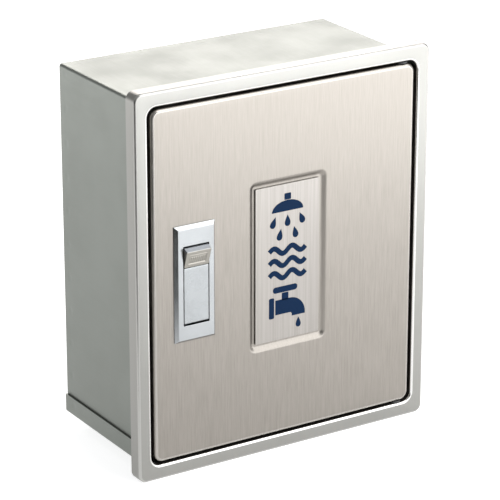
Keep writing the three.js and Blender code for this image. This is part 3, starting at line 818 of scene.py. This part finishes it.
for name, outlines, up in (("sign_spray", spray, 1), ("sign_waves", waves, 0), ("sign_tap", tap, -1)):
    sign = printed(name, outlines, plate_z + up * sign_pitch)
    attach(sign, "door")
    ink.paint(sign)


# ---- Latch: bezel ----
# A chrome frame with wide mitred bevels outside and crisp, slightly rounded edges.

bezel_low, bezel_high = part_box("latch_bezel")
bezel_size = bezel_high - bezel_low
bezel_x = (bezel_low.x + bezel_high.x) / 2
bezel_z = (bezel_low.z + bezel_high.z) / 2
bezel_bevel = 1.8 * MM
window_low_z = case_low.z + 1.5 * MM
window_high_z = case_high.z - 1.5 * MM
window_width = 17.2 * MM
crisp = 0.14 * MM


def bezel_ring(inset, corner):
    """The bezel's outer outline, drawn in by `inset`."""
    return rounded_outline(bezel_size.x - 2 * inset, bezel_size.z - 2 * inset, corner, 6, bezel_x, bezel_z)[0]


def window_ring(grow):
    """The window's outline, let out by `grow`."""
    middle = (window_low_z + window_high_z) / 2
    height = window_high_z - window_low_z + 2 * grow
    return rounded_outline(window_width + 2 * grow, height, 0.4 * MM + grow, 6, bezel_x, middle)[0]


bezel_skin = loft("bezel_skin", [
    (window_ring(0), bezel_high.y),
    (window_ring(0), bezel_low.y + crisp),
    (window_ring(0.3 * crisp), bezel_low.y + 0.3 * crisp),
    (window_ring(crisp), bezel_low.y),
    (bezel_ring(bezel_bevel + crisp, 0.3 * MM), bezel_low.y),
    (bezel_ring(bezel_bevel, 0.3 * MM), bezel_low.y + 0.25 * crisp),
    (bezel_ring(bezel_bevel - crisp, 0.3 * MM), bezel_low.y + crisp),
    (bezel_ring(crisp, 0.2 * MM), bezel_high.y - 2 * crisp),
    (bezel_ring(0, 0.2 * MM), bezel_high.y - crisp),
    (bezel_ring(0, 0.2 * MM), bezel_high.y),
], closed=True)
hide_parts("latch_bezel")
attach(bezel_skin, "door")

chrome = Finish("chrome_plate", Metallic=1.0)
chrome_cloud = chrome.noise((60, 60, 60), 3, 0.5)
chrome_fine = chrome.noise((2600, 2600, 2600), 2, 0.5)
chrome.feed(
    Base_Color=chrome.mix(chrome_cloud, rgb(0.325, 0.338, 0.345), rgb(0.375, 0.387, 0.395)),
    Roughness=(chrome_cloud * 0.6 + chrome_fine * 0.4).ramp(0.3, 0.7, 0.17, 0.26),
)
chrome.bump(chrome_fine, 0.004 * MM, 0.2)
chrome.paint(bezel_skin)


# ---- Latch: push button and pull handle ----
# The button is a satin wedge with a sunk, ribbed panel on its sloping face; the handle is a flat
# lever under it. Both are a rounded profile in Y and Z carried across the window.

def eased_polygon(corners, radii, steps=6):
    """A closed polygon with each corner rounded: an arc tangent to both sides, by its radius."""
    corners = np.asarray(corners, float)
    line = []
    for index, (corner, radius) in enumerate(zip(corners, radii)):
        back = corners[index - 1] - corner
        ahead = corners[(index + 1) % len(corners)] - corner
        back /= np.linalg.norm(back)
        ahead /= np.linalg.norm(ahead)
        half = math.acos(np.clip(back @ ahead, -1, 1)) / 2
        centre = corner + (back + ahead) / np.linalg.norm(back + ahead) * radius / math.sin(half)
        start = corner + back * radius / math.tan(half) - centre
        finish = corner + ahead * radius / math.tan(half) - centre
        first = math.atan2(start[1], start[0])
        sweep = (math.atan2(finish[1], finish[0]) - first + math.pi) % (2 * math.pi) - math.pi
        angle = first + sweep * np.linspace(0, 1, steps + 1)
        line.append(centre + radius * np.stack([np.cos(angle), np.sin(angle)], 1))
    return np.concatenate(line)


def filled(line, step):
    """The closed line with points added wherever two of its points lie further apart than step."""
    parts = []
    for first, last in zip(line, np.roll(line, -1, 0)):
        parts += [[first], between(first, last, step)]
    return np.concatenate(parts)


def carried_across(name, line, low_x, high_x, edge, step, lift=None):
    """A closed line in Y and Z carried along X, drawn in along an arc at both ends so that its
    end edges are rounded. `lift` moves each point, given X, Y and Z, and returns the new Y and Z."""
    turn = np.radians(np.linspace(0, 90, 5))
    ends = edge * (1 - np.sin(turn))
    stations = np.concatenate([
        low_x + edge * (1 - np.cos(turn)), np.arange(low_x + edge + step, high_x - edge, step),
        (high_x - edge * (1 - np.cos(turn)))[::-1],
    ])
    inset = np.zeros(len(stations))
    inset[:5] = ends
    inset[-5:] = ends[::-1]
    low, high = line.min(0), line.max(0)
    middle, half = (low + high) / 2, (high - low) / 2
    shrink = 1 - inset[:, None, None] / half
    place = middle + (line - middle)[None] * shrink
    if lift is not None:
        place = lift(stations[:, None] + 0 * place[..., 0], place)
    points = np.concatenate([stations[:, None, None] + 0 * place[..., :1], place], 2)
    across = len(line)
    last = (len(stations) - 1) * across
    faces = grid_faces(len(stations), across, wrap_columns=True)
    faces += [list(range(across)), list(range(last, last + across))]
    return sharp_edges(outward(add_mesh(name, points, faces)), 50)


button_low, button_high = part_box("push_button")
button_apex = np.array([button_low.y, button_high.z - 1.6 * MM])
button_foot = np.array([bezel_low.y - 0.2 * MM, button_low.z])
slope_run = np.linalg.norm(button_apex - button_foot)
slope_along = (button_apex - button_foot) / slope_run
slope_out = np.array([-slope_along[1], slope_along[0]])
button_middle = (button_low.x + button_high.x) / 2
panel_sink = 0.45 * MM
panel_half = 5.9
rib_half = 5.2
rib_pitch = 1.3 * MM
rib_share = 0.7
groove_depth = 0.18 * MM
on_face = 0.02 * MM


def button_lift(x, place):
    """The panel sunk in the sloping face, with a row of ribs standing on its floor: a product of
    smooth steps across and up, and a cosine along X."""
    along = (place - button_foot) @ slope_along / slope_run
    out = (place - button_foot) @ slope_out
    across = np.abs(x - button_middle) / MM
    inside = np.clip((panel_half - across) / 0.25, 0, 1) * np.clip((along - 0.19) / 0.03, 0, 1)
    inside = inside * np.clip((0.70 - along) / 0.03, 0, 1)
    ribbed = np.clip((rib_half - across) / 0.3, 0, 1) * np.clip((along - 0.26) / 0.04, 0, 1)
    ribbed = ribbed * np.clip((0.62 - along) / 0.04, 0, 1)
    rib = ribbed * (0.5 + 0.5 * np.cos(2 * np.pi * (x - button_middle) / rib_pitch))
    groove = np.clip((panel_half - across) / 0.25, 0, 1) * np.exp(-((along - 0.78) / 0.018) ** 4)
    depth = panel_sink * (inside - rib_share * rib) + groove_depth * groove
    depth = np.where(np.abs(out) < on_face, depth, 0)
    return place - depth[..., None] * slope_out


button_line = filled(eased_polygon([
    (bezel_low.y, button_high.z), button_apex, button_foot, (button_high.y - 1.0 * MM, button_low.z),
    (button_high.y, button_low.z + 1.0 * MM), (button_high.y, button_high.z),
], np.array([0.2, 0.45, 0.12, 0.3, 0.3, 0.2]) * MM), 0.12 * MM)
button_skin = carried_across(
    "button_skin", button_line, button_low.x, button_high.x, 0.25 * MM, 0.13 * MM, button_lift,
)
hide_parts("push_button")
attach(button_skin, "button")

button_finish = Finish("button_metal", Metallic=1.0)
button_cloud = button_finish.noise((500, 500, 500), 3, 0.6)
button_speck = button_finish.noise((3200, 3200, 3200), 2, 0.5)
button_tone = button_cloud * 0.5 + button_speck * 0.5
button_place = button_finish.node("ShaderNodeTexCoord", output="Object")
button_up = button_finish.node("ShaderNodeSeparateXYZ", {}, {0: button_place}, output="Z")
# Painted highlight: the top face, above the apex, is coloured lighter and bluer than the sloping face for the
# light it takes from above. Both faces have the same roughness.
button_top_face = button_up.ramp(button_apex[1] - 0.15 * MM, button_apex[1] + 0.15 * MM)
button_satin = button_finish.mix(button_tone, rgb(0.255, 0.243, 0.218), rgb(0.325, 0.31, 0.28))
button_top_painted_light = button_finish.mix(button_tone, rgb(0.27, 0.28, 0.295), rgb(0.33, 0.34, 0.36))
button_finish.feed(
    Base_Color=button_finish.mix(button_top_face, button_satin, button_top_painted_light),
    Roughness=button_tone.ramp(0.3, 0.7, 0.30, 0.42),
)
button_finish.bump(button_speck, 0.01 * MM, 0.4)
button_finish.paint(button_skin)

handle_low, handle_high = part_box("pull_handle")
hub = 2 * 1.9 * MM
handle_thin = 0.6 * (handle_high.y - handle_low.y)
handle_cut = 0.8 * MM
handle_line = filled(eased_polygon([
    (handle_low.y, handle_high.z), (handle_low.y, handle_low.z + handle_cut),
    (handle_low.y + handle_cut, handle_low.z),
    (handle_high.y, handle_low.z), (handle_high.y, handle_low.z + hub),
    (handle_low.y + handle_thin, handle_low.z + 1.5 * hub), (handle_low.y + handle_thin, handle_high.z),
], np.array([0.18, 0.3, 0.3, 0.3, 0.5, 0.5, 0.18]) * MM), 1.0 * MM)
handle_skin = carried_across("handle_skin", handle_line, handle_low.x, handle_high.x, 0.18 * MM, 1.0 * MM)
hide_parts("pull_handle")
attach(handle_skin, "handle")

lever = Finish("lever_plate", Metallic=1.0)
lever_cloud = lever.noise((70, 70, 70), 3, 0.5)
lever_fine = lever.noise((2600, 2600, 2600), 2, 0.5)
lever.feed(
    Base_Color=lever.mix(lever_cloud, rgb(0.295, 0.308, 0.315), rgb(0.345, 0.358, 0.365)),
    Roughness=(lever_cloud * 0.6 + lever_fine * 0.4).ramp(0.3, 0.7, 0.22, 0.34),
)
lever.bump(lever_fine, 0.006 * MM, 0.25)
lever.paint(handle_skin)


# ---- Latch: the works behind the door ----
# Case, cover, clamp and bolt are dull zinc; pins and screws bright drawn steel; springs oiled wire.

zinc = Finish("zinc_casting", Metallic=0.9)
zinc_cloud = zinc.noise((120, 120, 120), 4, 0.6)
zinc_speck = zinc.noise((2400, 2400, 2400), 2, 0.5)
zinc_tone = zinc_cloud * 0.7 + zinc_speck * 0.3
zinc.feed(
    Base_Color=zinc.mix(zinc_tone, rgb(0.27, 0.275, 0.28), rgb(0.40, 0.405, 0.41)),
    Roughness=zinc_tone.ramp(0.3, 0.7, 0.42, 0.62),
)
zinc.bump(zinc_tone, 0.03 * MM, 0.4)
for name in ("latch_case", "latch_cover", "latch_clamp", "latch_bolt"):
    zinc.paint(nodes[name])

steel = Finish("steel_pin", Metallic=1.0)
steel_cloud = steel.noise((300, 300, 300), 3, 0.5)
steel_turned = steel.noise((3000, 3000, 700), 2, 0.5)
steel_tone = steel_cloud * 0.5 + steel_turned * 0.5
steel.feed(
    Base_Color=steel.mix(steel_tone, rgb(0.42, 0.42, 0.41), rgb(0.54, 0.535, 0.52)),
    Roughness=steel_tone.ramp(0.3, 0.7, 0.20, 0.34),
)
steel.bump(steel_turned, 0.01 * MM, 0.3)
for name in ("latch_screw_upper", "latch_screw_lower", "button_pin", "handle_pin",
             "button_spring_pin", "handle_spring_pin"):
    steel.paint(nodes[name])

wire = Finish("spring_steel", Metallic=1.0)
wire_cloud = wire.noise((900, 900, 900), 3, 0.5)
wire.feed(
    Base_Color=wire.mix(wire_cloud, rgb(0.10, 0.10, 0.105), rgb(0.17, 0.165, 0.16)),
    Roughness=wire_cloud.ramp(0.3, 0.7, 0.28, 0.45),
)
for name in ("button_spring", "handle_spring"):
    wire.paint(nodes[name])


# ---- Turned pieces: the pipe's bush, and the pivots with their washers ----
# Each is a profile turned round its axis: the rubber bush round Y, the rivets and washers round Z.

def turned(name, profile, centre, axis, steps=64):
    """A profile of (radius, height) points turned round a centre: round Y, its heights along Y,
    or round Z, its heights along Z. A profile that starts and ends on the axis has closed ends."""
    radius, height = np.asarray(profile, float).T
    turn = np.linspace(0, 2 * np.pi, steps, endpoint=False)[:, None]
    first, second = radius * np.cos(turn), radius * np.sin(turn)
    third = np.broadcast_to(height, first.shape)
    place = np.stack([first, third, second] if axis == "Y" else [first, second, third], -1)
    on_axis = radius[0] < 1e-9
    faces = grid_faces(steps, len(radius), True, not on_axis)
    made = add_mesh(name, place + np.asarray(centre, float), faces)
    work = bmesh.new()
    work.from_mesh(made.data)
    bmesh.ops.remove_doubles(work, verts=work.verts, dist=0.001 * MM)
    work.to_mesh(made.data)
    work.free()
    return sharp_edges(outward(made), 40)


bush_low, bush_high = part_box("pipe_grommet")
bush_lip = (bush_high.x - bush_low.x) / 2
bush_neck = bush_lip - 3.6 * MM
bush_bore = bush_lip - 8.0 * MM
bush_seat = -1.3 * MM
bore_rear = 0.5 * MM
neck_round = 0.4 * MM
lip_rear = 0.3 * MM
lip_front = 1.2 * MM
bore_front = 0.8 * MM
bush_line = np.concatenate([
    arc((bush_bore + bore_rear, bush_high.y - bore_rear), bore_rear, 180, 90, 5),
    arc((bush_neck - neck_round, bush_high.y - neck_round), neck_round, 90, 0, 5),
    [(bush_neck, bush_seat)],
    arc((bush_lip - lip_rear, bush_seat - lip_rear), lip_rear, 90, 0, 5),
    arc((bush_lip - lip_front, bush_low.y + lip_front), lip_front, 0, -90, 8),
    arc((bush_bore + bore_front, bush_low.y + bore_front), bore_front, 270, 180, 6),
])
bush_skin = turned("bush_skin", bush_line, (0, 0, (bush_low.z + bush_high.z) / 2), "Y", 96)
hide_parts("pipe_grommet")
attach(bush_skin, "cabinet")

rubber = Finish("black_rubber", Metallic=0.0)
rubber_cloud = rubber.noise((260, 260, 260), 4, 0.6)
rubber_grain = rubber.noise((3500, 3500, 3500), 2, 0.5)
rubber.feed(
    Base_Color=rubber.mix(rubber_cloud, rgb(0.014, 0.014, 0.015), rgb(0.030, 0.030, 0.031)),
    Roughness=rubber_cloud.ramp(0.3, 0.7, 0.62, 0.85),
)
rubber.bump(rubber_grain, 0.02 * MM, 0.4)
rubber.paint(bush_skin, nodes["stop_pad_upper"], nodes["stop_pad_lower"])

# Painted shade: the washers' nylon is coloured near-black so that they stay dark where they show through the
# door's gap.
nylon = Finish("nylon", Metallic=0.0)
nylon_cloud = nylon.noise((500, 500, 500), 3, 0.5)
nylon.feed(
    Base_Color=nylon.mix(nylon_cloud, rgb(0.020, 0.020, 0.021), rgb(0.035, 0.035, 0.036)),
    Roughness=nylon_cloud.ramp(0.3, 0.7, 0.45, 0.6),
)

for place, side in (("upper", 1), ("lower", -1)):
    rivet_low, rivet_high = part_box(f"pivot_rivet_{place}")
    washer_low, washer_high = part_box(f"pivot_washer_{place}")
    pivot = ((rivet_low.x + rivet_high.x) / 2, (rivet_low.y + rivet_high.y) / 2, 0)
    head = (rivet_high.x - rivet_low.x) / 2
    shank = 2.0 * MM
    head_thick = 1.6 * MM
    foot_round = 0.6 * MM
    top_round = 0.3 * MM
    near, far = sorted((rivet_low.z, rivet_high.z), key=abs)
    heights = np.abs([near, far])
    rivet_line = np.concatenate([
        [(0, heights[0])], arc((head - foot_round, heights[0] + foot_round), foot_round, 270, 360, 6),
        [(head, heights[0] + head_thick), (shank, heights[0] + head_thick),
         (shank, heights[1] - head_thick), (head, heights[1] - head_thick)],
        arc((head - top_round, heights[1] - top_round), top_round, 0, 90, 4), [(0, heights[1])],
    ]) * (1, side)
    rivet = turned(f"rivet_{place}", rivet_line, pivot, "Z")
    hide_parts(f"pivot_rivet_{place}")
    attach(rivet, "cabinet")
    steel.paint(rivet)
    rim = (washer_high.x - washer_low.x) / 2
    bore = shank + 0.3 * MM
    round_edge = 0.2 * MM
    washer_line = np.concatenate([
        arc((bore + round_edge, washer_low.z + round_edge), round_edge, 180, 270, 4),
        arc((rim - round_edge, washer_low.z + round_edge), round_edge, 270, 360, 4),
        arc((rim - round_edge, washer_high.z - round_edge), round_edge, 0, 90, 4),
        arc((bore + round_edge, washer_high.z - round_edge), round_edge, 90, 180, 4),
    ])
    washer = turned(f"washer_{place}", washer_line, pivot, "Z")
    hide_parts(f"pivot_washer_{place}")
    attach(washer, "cabinet")
    nylon.paint(washer)
